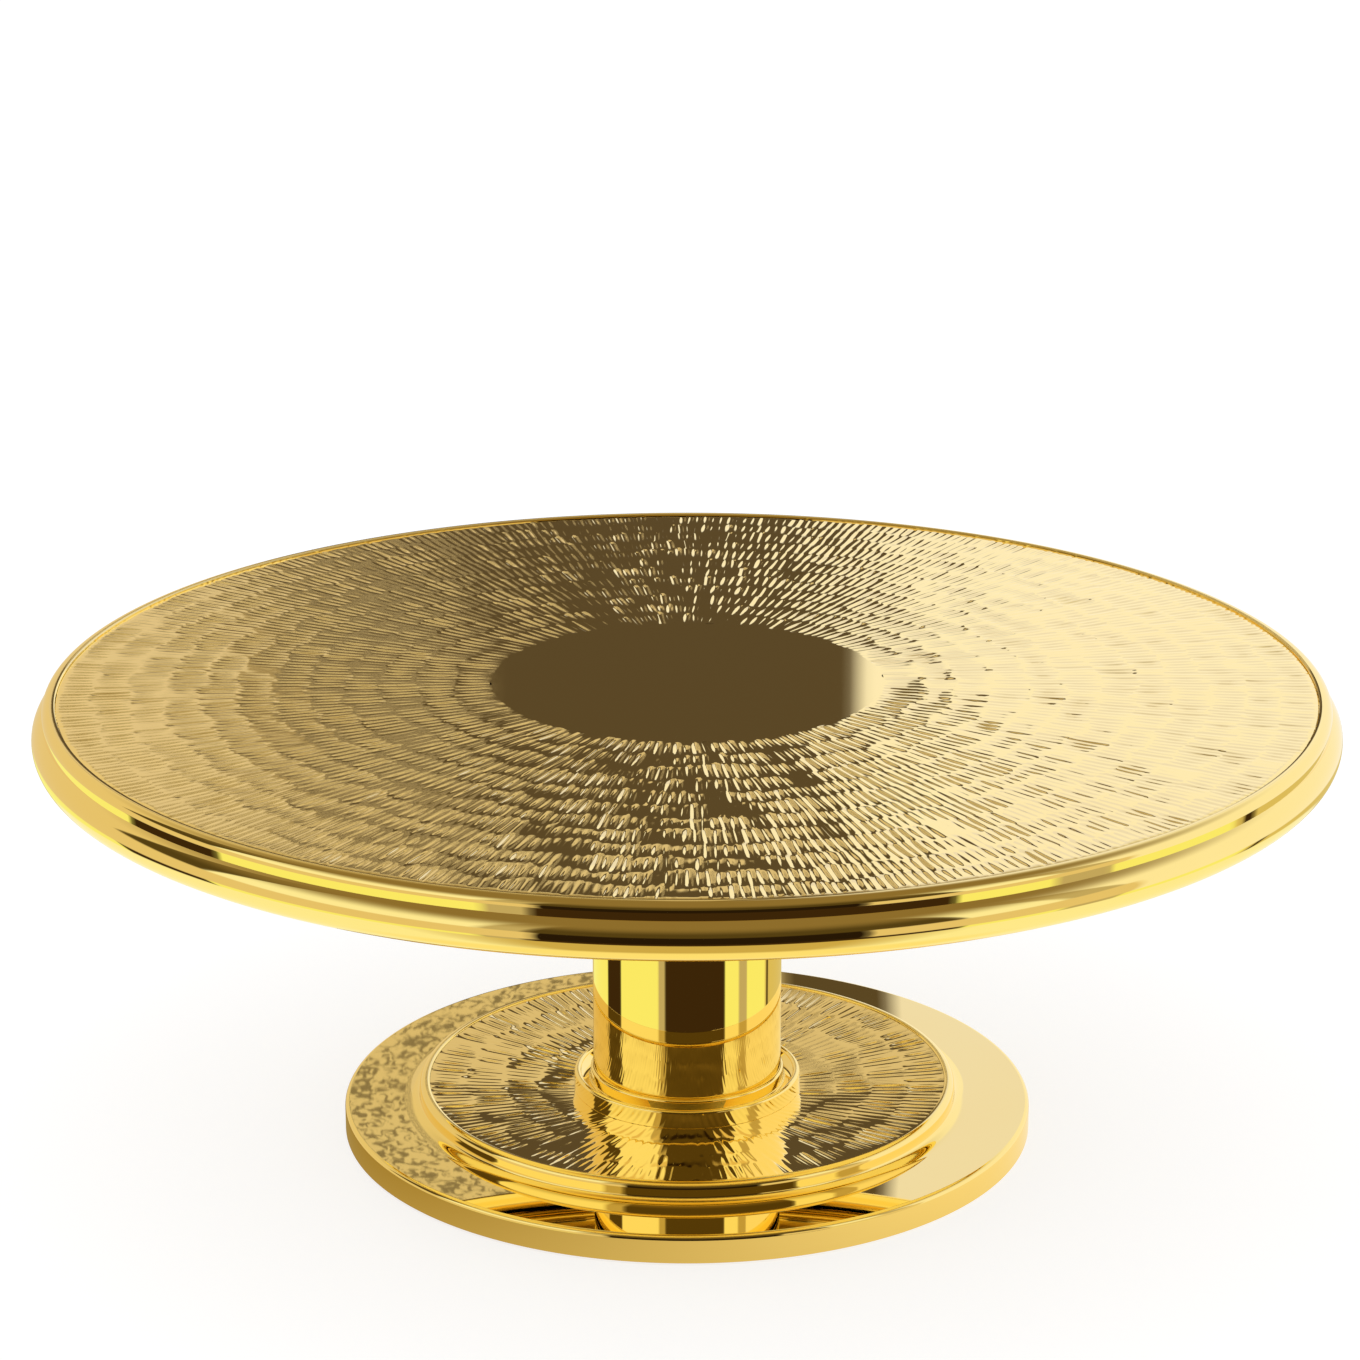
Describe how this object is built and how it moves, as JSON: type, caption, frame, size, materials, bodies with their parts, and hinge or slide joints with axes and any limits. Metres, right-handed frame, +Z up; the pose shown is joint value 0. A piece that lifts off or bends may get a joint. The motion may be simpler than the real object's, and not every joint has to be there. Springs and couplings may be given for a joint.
{
  "type": "cake stand",
  "caption": "Round cake stand: a flat chased plate in a rolled rim, carried on a plain round column by a stepped foot with a turned collar.",
  "frame": {"origin": "middle of the underside, on the surface that the rubber feet stand on", "axes": "+Z up along the column; X and Y lie in the resting surface and are alike, because the stand is round"},
  "size_m": [0.3, 0.3, 0.11],
  "materials": {
    "chased_gold": "polished gold plate over short radial chisel strokes",
    "polished_gold": "mirror-polished gold plate",
    "zinc_steel": "bright zinc plate",
    "cast_ballast": "black-painted casting",
    "black_plastic": "moulded nylon",
    "foot_rubber": "matt rubber"
  },
  "bodies": {
    "root": {"top_plate": "chased_gold", "rim_band": "polished_gold", "plate_flange": "zinc_steel", "plate_hub": "zinc_steel", "stem_tube": "polished_gold", "stem_top_ring": "black_plastic", "stem_bottom_plug": "black_plastic", "collar_ring": "polished_gold", "base_disc": "chased_gold", "base_shell": "polished_gold", "base_weight": "cast_ballast", "tie_rod": "zinc_steel", "base_washer": "zinc_steel", "lock_washer": "zinc_steel", "tie_nut": "zinc_steel", "foot_pads": "foot_rubber"}
  },
  "joints": []
}
